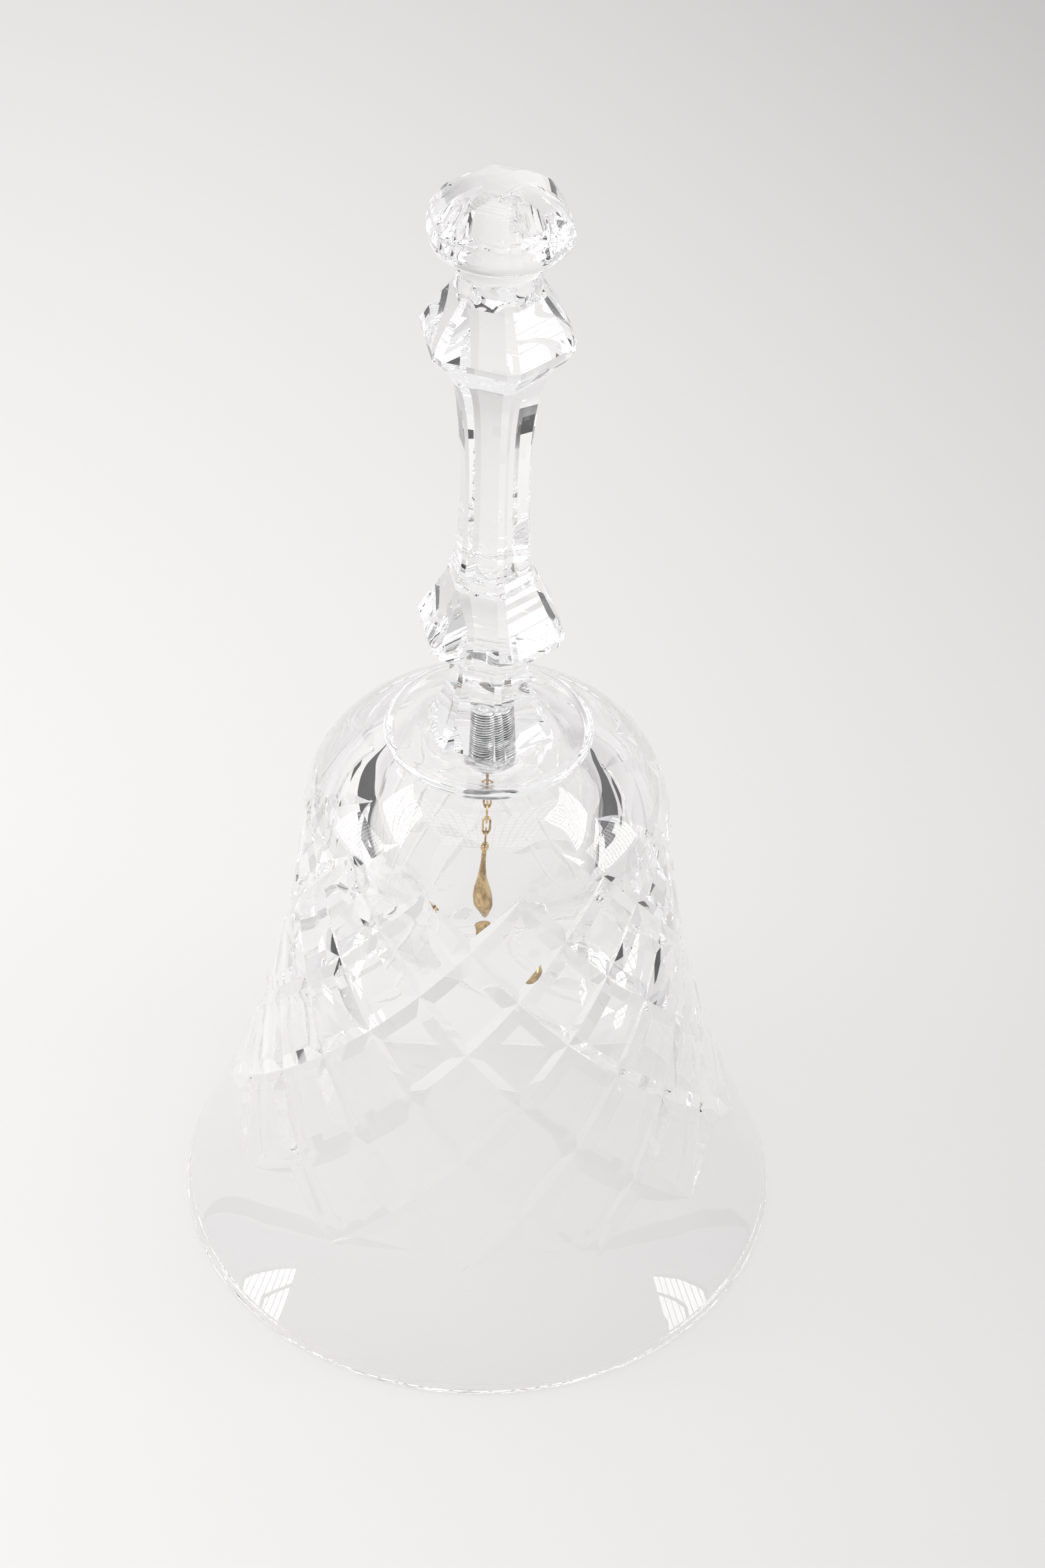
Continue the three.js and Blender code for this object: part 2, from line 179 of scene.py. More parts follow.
# Chain and clapper: the clapper's outline is (radius, height over its tip)
WIRE = 0.225
SLACK = 0.06
EYE_RADIUS = 0.85
PIN_RADIUS = 0.55
PIN_TOP = 95.0
LINK_WIDTH = 2.0
LINK_LENGTH = 3.6
LINK_PITCH = LINK_LENGTH - 4 * WIRE - SLACK
LINKS = 7
CHAIN_TOP = 87.2
HOOK_RADIUS = 0.62
CLAPPER_TIP = 58.3
CLAPPER = (
    (0.12, 0.05),
    (0.5, 0.25),
    (0.95, 0.7),
    (1.25, 1.5),
    (1.2, 2.5),
    (0.9, 3.8),
    (0.65, 5.4),
    (0.46, 7.6),
)

# Shades: the share of a metal's colour that is left where it is dull or dirty, and, last, in the painted
# shade of a thread's valleys
STEEL_SHADE = 0.72
PIN_SHADE = 0.6
BRASS_SHADE = (0.38, 0.3, 0.2)
# Painted shade: how dark the thread's valleys are painted
VALLEY_PAINTED_SHADE = 0.3

# Stage, metres: what stands at the side is given for the right, and the left mirrors it
FLOOR_LEVEL = -0.0001
FLOOR_SIZE = (12.0, 12.0)
# How far the floor's glow falls off, as painted light
FLOOR_LIGHT_FALLOFF = 0.22
SIDE_BOX = (0.6, -0.07, 0.25)
SIDE_BOX_AIM = (0.0, -0.07, 0.2)
SIDE_BOX_SIZE = (0.34, 0.36)
TOP_BOX = (0.0, 0.1, 1.1)
TOP_BOX_AIM = (0.0, 0.1, 0.0)
TOP_BOX_SIZE = (0.75, 1.05)
CARD = (0.6, -0.12, 0.0006)
CARD_SIZE = (0.74, 0.74)
LOW_SIDES = 0.75
BOUNCES = 32
LENS = 90.0
CAMERA = (0.0, -0.4627, 0.49229)
CAMERA_PAN = np.radians(-0.6855)
CAMERA_TILT = np.radians(48.8852)
CAMERA_ROLL = np.radians(1.8522)


# ---- Numbers ----


def step_smoothly(x, low, high):
    """0 below low, 1 above high, and 3t^2 - 2t^3 of the share t between them."""
    share = np.clip((x - low) / (high - low), 0, 1)
    return share * share * (3 - 2 * share)


def spans(points, steps):
    """A smooth curve through the points, with as many steps to each span.

    Each span is a cubic that starts and ends along the slopes at its points. A slope comes from the two
    neighbours, weighted by the square roots of their distances.
    """
    points = np.asarray(points, float)
    gaps = np.sqrt(np.linalg.norm(np.diff(points[:, :2], axis=0), axis=1))
    slope = np.gradient(points, np.concatenate([[0], np.cumsum(gaps)]), axis=0)
    t = np.linspace(0, 1, steps, endpoint=False)[None, :, None]
    width = gaps[:, None, None]
    curve = (
        (2 * t**3 - 3 * t**2 + 1) * points[:-1, None]
        + (t**3 - 2 * t**2 + t) * slope[:-1, None] * width
        + (3 * t**2 - 2 * t**3) * points[1:, None]
        + (t**3 - t**2) * slope[1:, None] * width
    )
    return np.concatenate([curve.reshape(-1, points.shape[1]), points[-1:]])


def waves(azimuth, *terms):
    """A sum of sines round the turn. Each term is a size, a whole number of waves and a phase."""
    return sum(size * np.sin(count * azimuth + phase) for size, count, phase in terms)


def turned(radius, azimuth, z):
    """Points at a radius and an azimuth, which is measured from the front, -Y, towards +X."""
    radius, azimuth, z = np.broadcast_arrays(radius, azimuth, z)
    return np.stack([radius * np.sin(azimuth), -radius * np.cos(azimuth), z], axis=-1)


# ---- Surfaces and pieces ----


def surface(points, closed=True, poles=None, back=None):
    """Vertices and triangles of a grid of points, rows by columns, whose columns run all the way round.

    A closed grid joins its last row to its first. Otherwise each end row is closed by its pole. back marks
    the quads that are cut along their other diagonal. Faces are turned outwards by the sign of the volume.
    """
    rows, columns = points.shape[:2]
    j, i = np.meshgrid(np.arange(rows if closed else rows - 1), np.arange(columns), indexing="ij")
    above, along = (j + 1) % rows, (i + 1) % columns
    a, b = j * columns + i, j * columns + along
    c, d = above * columns + along, above * columns + i
    flip = (np.zeros(a.shape, bool) if back is None else back)[..., None]
    first = np.where(flip, np.stack([a, b, d], -1), np.stack([a, b, c], -1))
    second = np.where(flip, np.stack([b, c, d], -1), np.stack([a, c, d], -1))
    faces = [first.reshape(-1, 3), second.reshape(-1, 3)]
    vertices = points.reshape(-1, 3)
    if not closed:
        start = rows * columns
        ring = np.arange(columns)
        after = (ring + 1) % columns
        last = start - columns
        faces.append(np.stack([np.full(columns, start), after, ring], -1))
        faces.append(np.stack([last + ring, last + after, np.full(columns, start + 1)], -1))
        vertices = np.concatenate([vertices, np.asarray(poles, float)])
    faces = np.concatenate(faces)
    corner = vertices[faces]
    volume = np.einsum("ij,ij->i", corner[:, 0], np.cross(corner[:, 1], corner[:, 2])).sum()
    return vertices, faces if volume > 0 else faces[:, ::-1]


def add_piece(name, surfaces, body, stands_for, look, sharp=30.0, amounts=None):
    """One piece from its surfaces, in millimetres, riding on a body in place of a node of the model.

    sharp is the angle in degrees past which an edge stays crisp. amounts are extra values on the vertices.
    """
    counts = np.cumsum([0] + [len(vertices) for vertices, _ in surfaces])
    vertices = np.concatenate([part for part, _ in surfaces]) * MM
    faces = np.concatenate([part + start for (_, part), start in zip(surfaces, counts)])
    mesh = bpy.data.meshes.new(name)
    mesh.vertices.add(len(vertices))
    mesh.vertices.foreach_set("co", vertices.astype(np.float32).ravel())
    mesh.loops.add(faces.size)
    mesh.loops.foreach_set("vertex_index", faces.astype(np.int32).ravel())
    mesh.polygons.add(len(faces))
    mesh.polygons.foreach_set("loop_start", np.arange(0, faces.size, 3, dtype=np.int32))
    mesh.update(calc_edges=True)
    if mesh.validate():
        raise RuntimeError(f"{name} has faces that don't hold together")
    mesh.polygons.foreach_set("use_smooth", np.ones(len(faces), bool))
    mesh.set_sharp_from_angle(angle=np.radians(sharp))
    for key, values in (amounts or {}).items():
        layer = mesh.attributes.new(key, "FLOAT", "POINT")
        layer.data.foreach_set("value", values.astype(np.float32).ravel())
    mesh.materials.append(look.owner)
    piece = bpy.data.objects.new(name, mesh)
    bpy.context.scene.collection.objects.link(piece)
    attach(piece, body)
    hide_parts(stands_for)
    return piece


# ---- Bell wall ----


def outer_radius(z):
    """A wall that flares as a line plus a square down from its top, under a shoulder that is a round arc.

    SHOULDER is the arc's centre as a radius and a height, and its own radius.
    """
    down = (WALL_TOP[1] - z) / WALL_TOP[1]
    flare = FLARE_LINEAR * down + (1 - FLARE_LINEAR) * down**2
    wall = WALL_TOP[0] + (RIM_RADIUS - WALL_TOP[0]) * flare
    arc = SHOULDER[0] + np.sqrt(np.maximum(0, SHOULDER[2] ** 2 - (z - SHOULDER[1]) ** 2))
    return np.where(z <= WALL_TOP[1], wall, arc)


def inner_radius(z):
    """The outer radius less a wall that thickens up from the rim as a sine, and again below the shoulder,
    under a dome that is part of an ellipse."""
    wall = RIM_WALL + (BODY_WALL - RIM_WALL) * np.sin(np.pi / 2 * np.clip(z / WALL_GROWS_TO, 0, 1))
    wall = wall + (SHOULDER_WALL - BODY_WALL) * step_smoothly(z, THICKENS_FROM, DOME_START)
    across = outer_radius(DOME_START) - SHOULDER_WALL - DOME_FLAT
    up = np.clip((z - DOME_START) / (CEILING - DOME_START), 0, 1)
    return np.where(z <= DOME_START, outer_radius(z) - wall, DOME_FLAT + across * np.sqrt(1 - up * up))


def run_out(down):
    """Share of the full cut at a row: it grows as 1 - (1 - t)^2 from nothing at each end of the lattice."""
    along = np.minimum((down - CUT_ENDS[0]) / TAPER_TOP, (CUT_ENDS[1] - down) / TAPER_BOTTOM)
    return 1 - (1 - np.clip(along, 0, 1)) ** 2


def off_groove(place):
    """Signed distance to the nearest groove of one family, in rows; the grooves are two rows apart."""
    return place - 2 * np.round(place / 2)


def gathered(place, share):
    """Moves mesh lines with a groove's edges as it narrows: the cut part shrinks to its share, and the rest
    of the way to the next groove stretches evenly to fill the gap."""
    off = off_groove(place)
    inside = off * share
    far = (np.abs(off) - GROOVE_HALF) * (1 - GROOVE_HALF * share) / (1 - GROOVE_HALF)
    outside = np.sign(off) * (GROOVE_HALF * share + far)
    return place - off + np.where(np.abs(off) <= GROOVE_HALF, inside, outside)


def cut_wall(down_rows, depth):
    """The outer wall as points, and how deep each one is cut, from rows given down from the first crossings.

    Two families of V grooves run at around + down and around - down = a whole even number of rows. A groove
    is deepest on its line and rises evenly to the wall at a third of a row, less where it runs out. The mesh
    lines are gathered in to the edges of the grooves, so that every edge of a cut lies on mesh edges.
    """
    around, down = np.meshgrid(np.arange(COLUMNS) / CELLS, down_rows)
    held = np.clip(down, 0, LATTICE_ROWS)
    fade = 1 - step_smoothly(np.abs(down - held), 0, 0.8)
    share = np.maximum(run_out(held), NARROWEST)
    for _ in range(6):
        plus, minus = gathered(around + held, share), gathered(around - held, share)
        share = np.maximum(run_out((plus - minus) / 2), NARROWEST)
    around = around + fade * ((plus + minus) / 2 - around)
    down = down + fade * ((plus - minus) / 2 - held)
    nearest = np.minimum(np.abs(off_groove(around + down)), np.abs(off_groove(around - down)))
    cut = depth * np.maximum(0, run_out(down) - nearest / GROOVE_HALF)
    return around, LATTICE_TOP - LATTICE_ROW * down, cut


def rim_edge():
    """The rim's outer edge: a quarter of an ellipse from its flat up to the wall, without its two ends."""
    angle = np.linspace(0, np.pi / 2, OUTER_EDGE_STEPS + 1)[1:-1]
    across = outer_radius(RIM_ROUND) - RIM_FLAT[1]
    return np.stack([RIM_FLAT[1] + across * np.sin(angle), RIM_ROUND * (1 - np.cos(angle))], -1)


def wall_rows():
    """Rows of the outer wall, given down from the first crossings: even steps up to the lattice, CELLS of
    them to a row of crossings through it, and even steps of angle over the shoulder."""
    bottom = (LATTICE_TOP - RIM_ROUND) / LATTICE_ROW
    lattice = np.arange(LATTICE_ROWS * CELLS, -1, -1) / CELLS
    start = np.arcsin((LATTICE_TOP - SHOULDER[1]) / SHOULDER[2])
    rise = np.linspace(start, np.pi / 2, SHOULDER_ROWS + 1)[1:]
    above = (LATTICE_TOP - (SHOULDER[1] + SHOULDER[2] * np.sin(rise))) / LATTICE_ROW
    return np.concatenate([np.linspace(bottom, LATTICE_ROWS, ROWS_BELOW + 1)[:-1], lattice, above])


def inner_outline():
    """From the shoulder over the flat crown and its recess, down the hole, round the dome and down inside,
    to the rim's inner edge, which is a quarter of an ellipse, and its flat."""
    across = np.linspace(SHOULDER[0], RECESS[0], CROWN_STEPS + 1)[1:]
    crown = np.stack([across, np.full(CROWN_STEPS, CROWN)], -1)
    floor = CROWN - RECESS[1]
    hole = [[RECESS[0], floor], [HOLE, floor], [HOLE, CEILING]]
    dome = DOME_START + (CEILING - DOME_START) * np.sin(np.linspace(np.pi / 2, 0, DOME_STEPS + 1))
    z = np.concatenate([dome, np.linspace(DOME_START, RIM_ROUND, INSIDE_STEPS + 1)[1:]])
    inside = np.stack([inner_radius(z), z], -1)
    angle = np.linspace(0, np.pi / 2, INNER_EDGE_STEPS + 1)[1:]
    start = inner_radius(RIM_ROUND)
    across = start + (RIM_FLAT[0] - start) * (1 - np.cos(angle))
    edge = np.stack([across, RIM_ROUND * (1 - np.sin(angle))], -1)
    return np.concatenate([crown, hole, inside, edge, [[RIM_FLAT[1], 0]]])


def bell_wall(depth, turn):
    """The whole wall as one closed grid: up the cut outside, over the crown, down its hole and the inside,
    where the blown wall wanders by two sines of the azimuth and the height.

    Returns the points, the cut depth at each and the quads to be cut along their other diagonal.
    """
    step = TURN / LATTICE_COLUMNS
    azimuth = np.arange(COLUMNS) / CELLS * step + turn
    low, rows, rest = rim_edge(), wall_rows(), inner_outline()
    around, z, cut = cut_wall(rows, depth)
    across, up = rest[:, :1], rest[:, 1:]
    blown = step_smoothly(up, *BLOWN) * (up < CEILING + 0.1) * step_smoothly(across, HOLE + 1, HOLE + 6)
    wander = waves(azimuth, (0.09, 5, up / 5), (0.05, 13, 1 - up / 3))
    grid = np.concatenate(
        [
            turned(low[:, :1], azimuth, low[:, 1:]),
            turned(outer_radius(z) - cut, around * step + turn, z),
            turned(across + blown * wander, azimuth, up),
        ]
    )
    cuts = np.zeros(grid.shape[:2])
    cuts[len(low) : len(low) + len(rows)] = cut
    first = len(low) + ROWS_BELOW
    j, i = np.meshgrid(np.arange(len(grid)), np.arange(COLUMNS), indexing="ij")
    line = (i + 1 - (LATTICE_ROWS * CELLS - (j - first))) % (2 * CELLS)
    half = round(CELLS * GROOVE_HALF)
    return grid, cuts, (line == 0) | (line == half) | (line == 2 * CELLS - half)


# ---- Handle ----


def handle_grid(turn):
    """The handle's outline carried round its facets, with the ridges between them cut off flat.

    Near a ridge the section is a flat at the corner radius; elsewhere it is the facet's flat. The share of
    hexagon mixes that section with a circle.
    """
    sector = TURN / FACETS
    facet = np.linspace(RIDGE_HALF, sector - RIDGE_HALF, FACET_STEPS, endpoint=False)
    ridge = np.linspace(sector - RIDGE_HALF, sector + RIDGE_HALF, RIDGE_STEPS, endpoint=False)
    azimuth = (np.concatenate([facet, ridge])[None, :] + sector * np.arange(FACETS)[:, None]).ravel()
    profile = np.concatenate([spans(run, RUN_STEPS)[:-1] for run in HANDLE_RUNS] + [[HANDLE_RUNS[-1][-1]]])
    corner, z, share = (column[:, None] for column in profile.T)
    share = np.clip(share, 0, 1)
    off = np.abs(azimuth - sector * np.round(azimuth / sector))[None, :]
    apothem = corner / np.cos(RIDGE_HALF) * np.cos(sector / 2 - RIDGE_HALF)
    section = np.where(off <= RIDGE_HALF + 1e-6, corner / np.cos(off), apothem / np.cos(sector / 2 - off))
    return turned(corner + share * (section - corner), azimuth + turn, z)


# ---- Fittings, chain and clapper ----


def lathe(outline, segments):
    """A closed outline of [radius, z] turned round the axis."""
    outline = np.asarray(outline, float)
    return turned(outline[:, :1], np.linspace(0, TURN, segments, endpoint=False), outline[:, 1:])


def thread_grid(pitch, depth, segments=40):
    """A tube whose outside dips as a cosine of z / pitch less the turn, which makes one thread all the way.

    The dip grows from about a third of its depth over the first pitch, and fades again over the last one.
    Returns the points and the share of a full dip at each.
    """
    radius, bore, bottom, top = TUBE
    azimuth = np.linspace(0, TURN, segments, endpoint=False)
    z = np.arange(bottom + 0.2, top - 0.2, pitch / 8)[:, None]
    ends = step_smoothly(z, bottom, bottom + pitch) * (1 - step_smoothly(z, top - pitch, top))
    dip = depth * (0.5 - 0.5 * np.cos(TURN * z / pitch - azimuth)) * (0.35 + 0.65 * ends)
    rim = radius - TUBE_CHAMFER
    caps = lathe([[rim, top], [bore, top], [bore, bottom], [rim, bottom]], segments)
    valley = np.concatenate([dip / depth, np.zeros(caps.shape[:2])])
    return np.concatenate([turned(radius - dip, azimuth, z), caps]), valley


def bedding_grid():
    """A ring of set filler: its rim wanders by a few sines of the azimuth, and its top sags by two more."""
    bottom, top = CROWN - RECESS[1] + 0.3, CROWN
    azimuth = np.linspace(0, TURN, 120, endpoint=False)
    section = np.array(BEDDING)
    out, up = section[:, :1], section[:, 1:]
    lean = np.linspace(0, 2.4, len(section))[:, None]
    wander = waves(azimuth, (0.12, 5, 0), (0.09, 9, 1), (0.05, 23, lean))
    sag = 0.08 + waves(azimuth, (0.05, 7, 2 * lean), (0.03, 19, 0))
    return turned(out + wander * (out > 3), azimuth, bottom + (top - bottom) * up - sag * (up > 0.9))


def washer_grid():
    """A flat ring with its four edges bevelled."""
    radius, thick, top = WASHER
    bottom, rim, bore = top - thick, radius - WASHER_BEVEL, HOLE + 0.1
    outside = [[rim, bottom], [radius, bottom + WASHER_BEVEL], [radius, top - WASHER_BEVEL], [rim, top]]
    inside = [[bore, top], [HOLE, top - WASHER_BEVEL], [HOLE, bottom + WASHER_BEVEL], [bore, bottom]]
    return lathe(outside + inside, segments=96)


def nut_grid(segments=96):
    """A hexagon nut: a flat is its distance over the cosine off it, and a cone takes the corners off."""
    corner, height, top = NUT
    side = TURN / 6
    azimuth = np.linspace(0, TURN, segments, endpoint=False)
    off = azimuth - side * np.round(azimuth / side)
    apothem = corner * np.cos(side / 2)
    low = np.array([0.0, 0.12, 0.25, 0.4])
    levels = np.concatenate([low, height - low[::-1]])
    cone = apothem + NUT_CONE * np.minimum(levels, height - levels)[:, None]
    outside = turned(np.minimum(apothem / np.cos(off), cone), azimuth, top - height + levels[:, None])
    return np.concatenate([outside, lathe([[BORE, top], [BORE, top - height]], segments)])


def wire_grid(path, across_y, sides=14):
    """A round wire along a closed flat path of [across, z]: circles set square to the path's tangent."""
    tangent = np.roll(path, -1, axis=0) - np.roll(path, 1, axis=0)
    tangent = tangent / np.linalg.norm(tangent, axis=1, keepdims=True)
    angle = np.linspace(0, TURN, sides, endpoint=False)
    side = WIRE * np.cos(angle)
    flat = path[:, :1] + side * tangent[:, 1:]
    out = np.broadcast_to(WIRE * np.sin(angle), flat.shape)
    z = path[:, 1:] - side * tangent[:, :1]
    return np.stack([out, flat, z] if across_y else [flat, out, z], axis=-1)


def eye_surface(radius, centre):
    """A wire bent to a circle, in the plane that is square to Y."""
    angle = np.linspace(0, TURN, 40, endpoint=False)
    path = np.stack([radius * np.sin(angle), centre + radius * np.cos(angle)], -1)
    return surface(wire_grid(path, across_y=False))


def rod_surface(outline, steps, segments):
    """A smooth outline of [radius, z] turned round the axis, with a pole point just beyond each end."""
    poles = ((0, 0, outline[0][1] - 0.05), (0, 0, outline[-1][1] + 0.02))
    return surface(lathe(spans(outline, steps), segments), closed=False, poles=poles)


def pin_surfaces():
    """The fixed eye that the chain hangs on, and its shank up into the tube."""
    centre = CHAIN_TOP + EYE_RADIUS
    low = centre + EYE_RADIUS - WIRE / 2
    shank = [[0.33, low], [PIN_RADIUS, low + 0.5], [PIN_RADIUS, PIN_TOP - 0.2], [0.35, PIN_TOP]]
    return [eye_surface(EYE_RADIUS, centre), rod_surface(shank, steps=8, segments=32)]


def link_surface(index):
    """A link of the chain: two half circles joined by straight sides, each a quarter turn from the last."""
    centre = CHAIN_TOP - index * LINK_PITCH + 3 * WIRE + SLACK - LINK_LENGTH / 2
    bend = LINK_WIDTH / 2 - WIRE
    straight = LINK_LENGTH / 2 - WIRE - bend
    angle = np.linspace(0, np.pi, 17)
    half = np.stack([-bend * np.cos(angle), straight + bend * np.sin(angle)], -1)
    path = np.concatenate([half, -half]) + [0, centre]
    return surface(wire_grid(path, across_y=index % 2 == 0))


def clapper_surfaces():
    """The clapper's own eye, and its drop up to a stem that meets the eye."""
    hook = CHAIN_TOP - LINKS * LINK_PITCH + 2 * WIRE + SLACK
    top = hook - 2 * HOOK_RADIUS + WIRE / 2
    outline = [[radius, CLAPPER_TIP + rise] for radius, rise in CLAPPER]
    outline += [[0.45, top - 0.5], [0.3, top]]
    return [eye_surface(HOOK_RADIUS, hook - HOOK_RADIUS), rod_surface(outline, steps=6, segments=48)]


# ---- Materials ----


class Value:
    """A shader socket that works like a number: an expression on values adds its Math nodes."""

    def __init__(self, look, socket):
        self.look = look
        self.socket = socket

    def maths(self, operation, *values):
        """A Math node on these values."""
        return self.look.node("ShaderNodeMath", {"operation": operation}, dict(enumerate(values)))

    def __add__(self, other):
        return self.maths("ADD", self, other)

    __radd__ = __add__

    def __sub__(self, other):
        return self.maths("SUBTRACT", self, other)

    def __rsub__(self, other):
        return self.maths("SUBTRACT", other, self)

    def __mul__(self, other):
        return self.maths("MULTIPLY", self, other)

    __rmul__ = __mul__

    def __pow__(self, other):
        return self.maths("POWER", self, other)


class Look:
    """The nodes of a material or a world. It keeps the name of a material slot, which is not used."""

    def __init__(self, owner, slot=None):
        self.slot = slot
        self.owner = owner
        owner.use_nodes = True
        self.tree = owner.node_tree
        self.tree.nodes.clear()

    def node(self, kind, settings=None, sockets=None, output=0):
        """Places one node: its settings first, then the values or links of its sockets."""
        node = self.tree.nodes.new(kind)
        for key, setting in (settings or {}).items():
            setattr(node, key, setting)
        for key, value in (sockets or {}).items():
            if isinstance(value, Value):
                self.tree.links.new(value.socket, node.inputs[key])
            else:
                node.inputs[key].default_value = value
        return Value(self, node.outputs[output]) if node.outputs else None

    def place(self):
        """The place in the scene, in metres, because every mesh holds its own place."""
        return self.node("ShaderNodeTexCoord", output="Object")

    def amount(self, name):
        """The extra value of this name that a piece carries on its vertices."""
        return self.node("ShaderNodeAttribute", {"attribute_name": name}, output="Fac")

    def noise(self, scale, detail=2.0, rough=0.5, at=None):
        """Cloudy noise from 0 to 1, with this many lumps to the metre."""
        sockets = {"Vector": at or self.place(), "Scale": scale, "Detail": detail, "Roughness": rough}
        return self.node("ShaderNodeTexNoise", sockets=sockets)

    def mix(self, share, low, high):
        """A colour between two colours: low at a share of 0, high at 1."""
        sockets = {0: share, 6: (*low, 1), 7: (*high, 1)}
        return self.node("ShaderNodeMix", {"data_type": "RGBA"}, sockets, 2)

    def between(self, value, low, high):
        """0 at low, 1 at high, and held there beyond them."""
        return self.node("ShaderNodeMapRange", sockets={"Value": value, 1: low, 2: high})

    def axes(self, vector):
        """The three numbers of a vector."""
        apart = self.node("ShaderNodeSeparateXYZ", sockets={"Vector": vector})
        return [Value(self, output) for output in apart.socket.node.outputs]

    def bump(self, height, distance):
        """A normal from a height; distance is what a height of 1 stands for, in metres."""
        sockets = {"Height": height, "Distance": distance, "Strength": 1.0}
        return self.node("ShaderNodeBump", sockets=sockets)

    def finish(self, sockets):
        """Ends a material in one Principled shader with these sockets."""
        shader = self.node("ShaderNodeBsdfPrincipled", sockets=sockets)
        self.node("ShaderNodeOutputMaterial", sockets={"Surface": shader})
        return self


def shaded(colour, shares):
    """A colour with its channels cut to these shares; one share does for all three."""
    return tuple(np.multiply(colour, shares).tolist())


def glass_look(name, glass, cut_share=None):
    """Clear crystal: slow ripples left by fire polish, faint wheel marks in the cuts and a haze of dust."""
    look = Look(bpy.data.materials.new(name), name)
    slow = look.noise(55, 1.0)
    fine = look.noise(900, 1.0)
    rough = 0.004 + 0.05 * fine**4
    height = slow
    if cut_share:
        cut = look.amount(cut_share)
        rough = rough + 0.03 * cut * fine
        height = slow + 0.02 * cut * fine
    return look.finish(
        {
            "Base Color": look.mix(slow, shaded(glass.tint, 0.99), glass.tint),
            "Roughness": rough,
            "Normal": look.bump(height, glass.ripple),
            "IOR": glass.bend,
            "Transmission Weight": 1.0,
        }
    )


def metal_look(name, slot, light, dark, rough, scratches, painted_shade_share=None):
    """A plated metal: cloudy tone, darker where it is tarnished, painted shade deep in a thread's valleys,
    fine scratches.
    """
    look = Look(bpy.data.materials.new(name), slot)
    cloud = look.noise(450, 3.0, 0.6)
    film = look.noise(1600, 4.0, 0.7)
    stretch = look.node("ShaderNodeMapping", sockets={"Vector": look.place(), "Scale": (1.0, 1.0, 7.0)})
    scratch = look.noise(2600, 3.0, 0.7, at=stretch)
    share = look.between(0.6 * cloud + 0.4 * film, 0.42, 0.58)
    # Painted shade: the colour darkens deep in a thread's valleys, towards a darker shade of its dark colour
    if painted_shade_share:
        share = look.between(share + 2.2 * look.amount(painted_shade_share), 0.4, 2.6)
        dark = shaded(dark, VALLEY_PAINTED_SHADE)
    return look.finish(
        {
            "Base Color": look.mix(share, light, dark),
            "Metallic": 1.0,
            "Roughness": rough + 0.16 * share + 0.06 * scratch,
            "Normal": look.bump(scratch, scratches),
        }
    )


def filler_look():
    """Set filler: chalky, mottled, pitted and matt."""
    look = Look(bpy.data.materials.new("set_filler"), "bedding")
    mottle = look.noise(900, 4.0, 0.7)
    pits = look.node("ShaderNodeTexVoronoi", sockets={"Vector": look.place(), "Scale": 2600.0})
    return look.finish(
        {
            "Base Color": look.mix(mottle, (0.78, 0.77, 0.74), (0.52, 0.52, 0.51)),
            "Roughness": 0.7 + 0.25 * mottle,
            "Normal": look.bump(mottle + 0.6 * pits, 0.12 * MM),
        }
    )


def floor_look(colour, glow, fade):
    """A pale matt sweep that glows, with painted light falling off in its glow: less to the right, as the
    power 1.7 of the share of the way, and to the back, as the power 1.5."""
    look = Look(bpy.data.materials.new("pale_floor"))
    across, back, _ = look.axes(look.place())
    right = look.between(across, -0.14, 0.14)
    away = look.between(back, 0.08, 0.4)
    # Painted light: the glow falls off to the right and to the back, where the light on the floor would be
    # weaker
    bright = glow - fade * right**1.7 - 0.7 * fade * away**1.5
    return look.finish(
        {
            "Base Color": (*colour, 1),
            "Roughness": 0.8,
            "Emission Color": look.mix(bright, (0, 0, 0), (1.0, 0.975, 0.968)),
            "Emission Strength": 1.0,
        }
    )


def softbox_look(name, strength, cells):
    """A glowing cloth behind a fabric grid, whose walls are dark lines between the cells."""
    look = Look(bpy.data.materials.new(name))
    spot = look.node("ShaderNodeTexCoord", output="UV")
    open_share = 1.0
    for value in look.axes(spot)[:2]:
        cell = value * cells
        open_share = open_share * cell.maths("GREATER_THAN", cell.maths("FRACT", cell), 0.16)
    return look.finish(
        {
            "Base Color": (0, 0, 0, 1),
            "Emission Color": look.mix(open_share, (0.02, 0.02, 0.02), (1.0, 1.0, 1.0)),
            "Emission Strength": strength,
        }
    )


def card_look():
    """A nearly black matt card."""
    look = Look(bpy.data.materials.new("dark_card"))
    return look.finish({"Base Color": (0.02, 0.02, 0.022, 1), "Roughness": 0.8})


def room_world(bright, dim):
    """An even pale room, a little darker low down on either side, where side and height are those of a
    direction."""
    look = Look(bpy.data.worlds.new("pale_room"))
    side, _, height = look.axes(look.node("ShaderNodeTexCoord"))
    low = 1 - look.between(height, 0.02, 0.16)
    wide = look.between(side * side, 0.45, 0.75)
    colour = look.mix(low * wide, (bright, bright, bright * 1.005), (dim, dim, dim * 1.1))
    shader = look.node("ShaderNodeBackground", sockets={"Color": colour})
    look.node("ShaderNodeOutputWorld", sockets={"Surface": shader})
    return look.owner


# ---- Settings ----


class BellSettings(bpy.types.PropertyGroup):
    """The bell's cut wall"""

    groove_depth: FloatProperty(
        name="Groove depth", description="Depth of the lattice cuts", default=0.7 * MM, min=0.0, unit="LENGTH"
    )
    lattice_turn: FloatProperty(
        name="Lattice turn",
        description="Turn of the first crossing from the front",
        default=np.radians(11),
        unit="ROTATION",
    )


class HandleSettings(bpy.types.PropertyGroup):
    """The handle"""

    turn: FloatProperty(
        name="Turn", description="Turn of one ridge from the front", default=np.radians(12), unit="ROTATION"
    )


